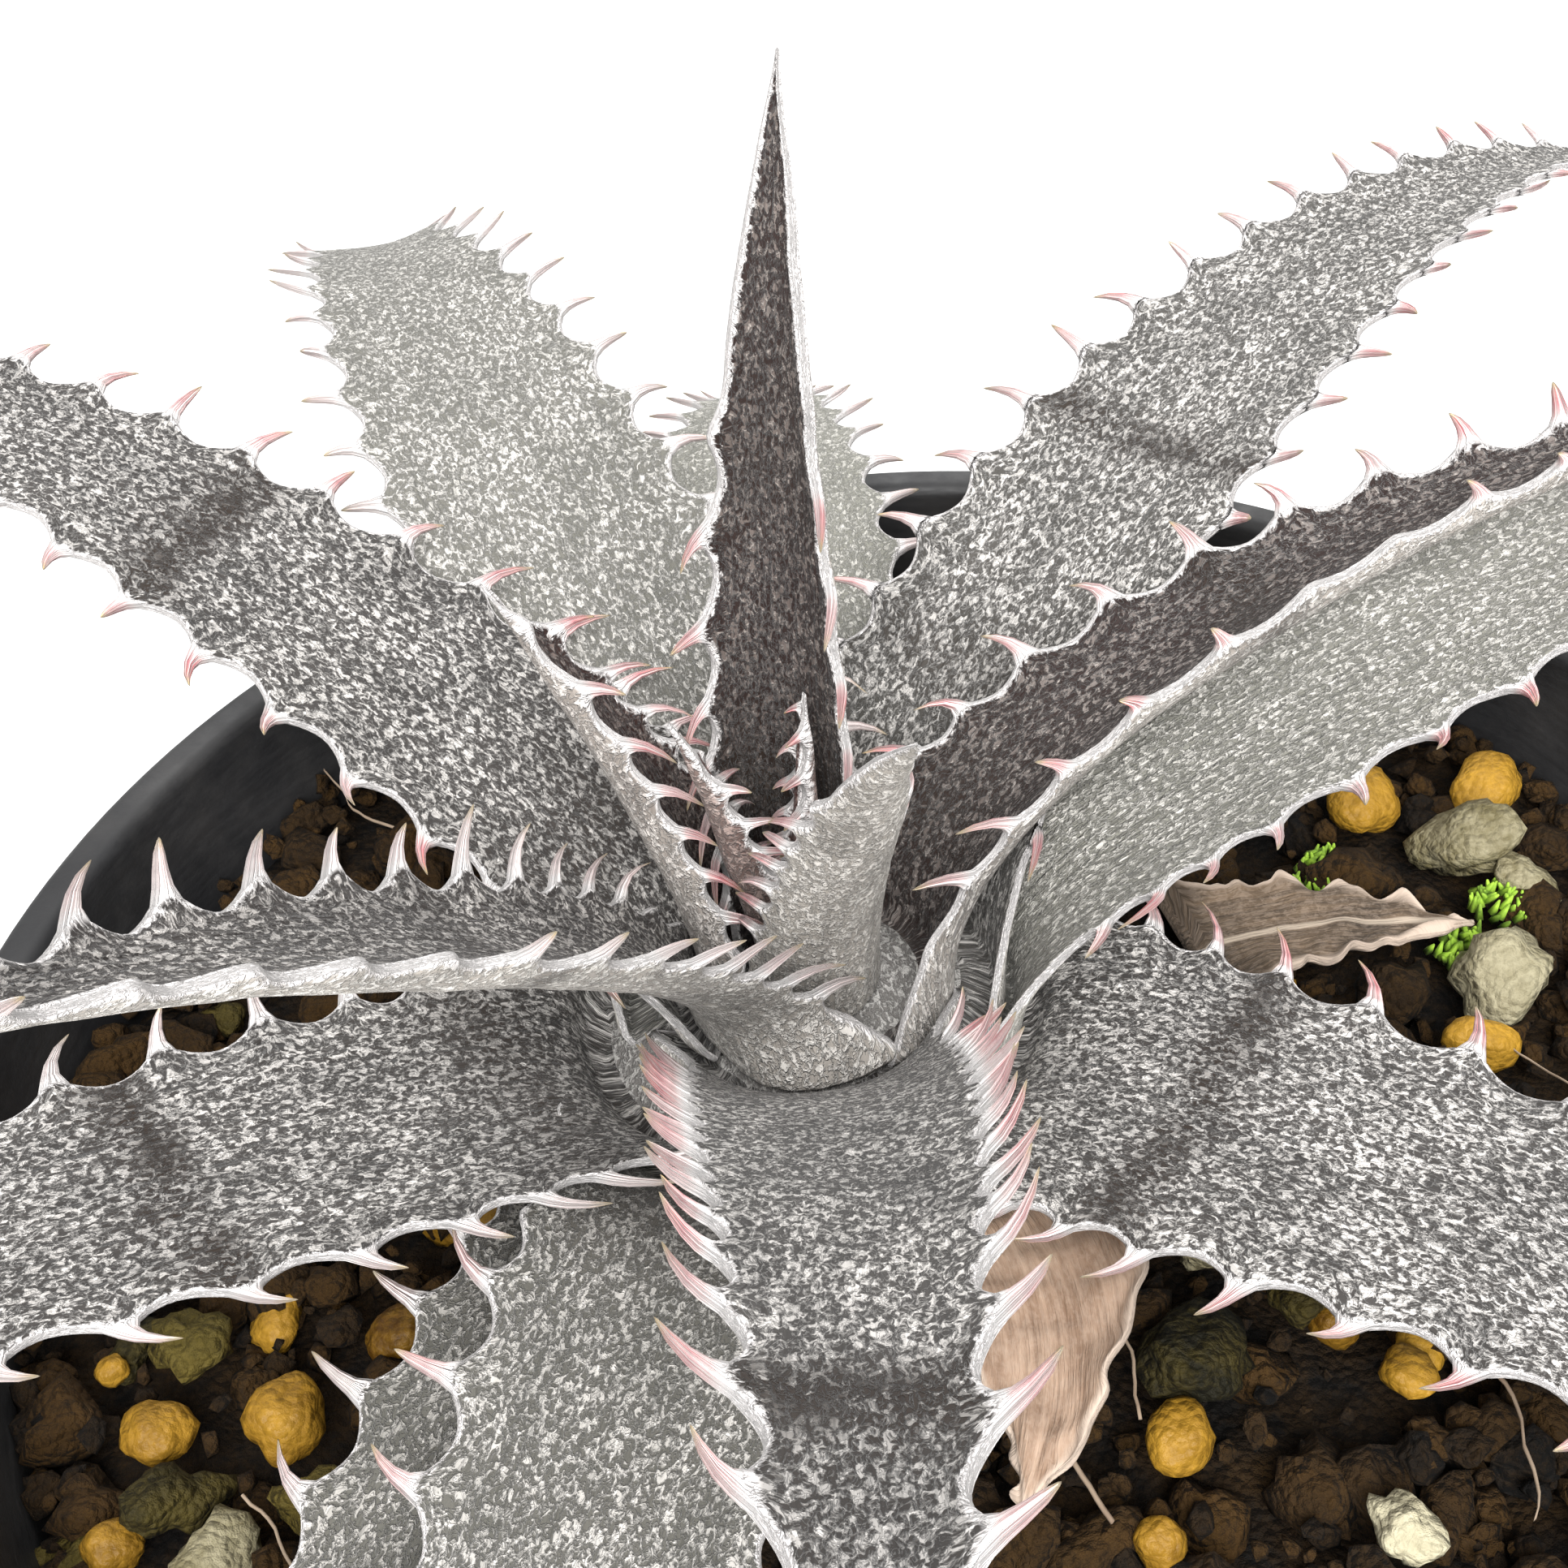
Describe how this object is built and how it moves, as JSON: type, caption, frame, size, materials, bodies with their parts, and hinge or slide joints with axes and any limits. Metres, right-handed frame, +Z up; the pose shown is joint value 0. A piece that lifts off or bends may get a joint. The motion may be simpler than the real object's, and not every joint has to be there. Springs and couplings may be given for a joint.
{
  "type": "potted dyckia bromeliad",
  "caption": "Silver-grey dyckia bromeliad, a spiny rosette of arching leaves on a short stem, in granular soil in a plain round black plastic pot.",
  "frame": {"origin": "centre of the underside of the pot, on the surface it stands on", "axes": "+Z up along the pot's axis; -Y is the side that faces the viewer, +X is to the viewer's right"},
  "size_m": [0.2429, 0.2554, 0.1869],
  "materials": {
    "black_plastic": "matte black plastic",
    "granular_soil": "brown and yellow porous grains",
    "stem_bark": "dull brown bark",
    "grey_leaf": "silver-grey scaly leaf skin",
    "heart_leaf": "red-brown young leaf skin",
    "dry_leaf": "dry tan leaf"
  },
  "bodies": {
    "root": {"pot": "black_plastic", "soil": "granular_soil", "stem": "stem_bark", "heart_leaf_inner": "heart_leaf", "heart_leaf_outer": "heart_leaf", "leaf_back_upright": "grey_leaf", "leaf_young_front": "grey_leaf", "leaf_young_left": "grey_leaf", "leaf_left_channelled": "grey_leaf", "leaf_left_upper": "grey_leaf", "leaf_right_channelled": "grey_leaf", "leaf_front": "grey_leaf", "leaf_back_left": "grey_leaf", "leaf_right_upper": "grey_leaf", "leaf_right": "grey_leaf", "leaf_left_lower": "grey_leaf", "leaf_right_lower": "grey_leaf", "leaf_front_left": "grey_leaf", "leaf_front_left_low": "grey_leaf", "leaf_back_low": "grey_leaf", "leaf_back_left_low": "grey_leaf", "dry_leaf_hanging": "dry_leaf", "dry_leaf_fallen": "dry_leaf"}
  },
  "joints": []
}
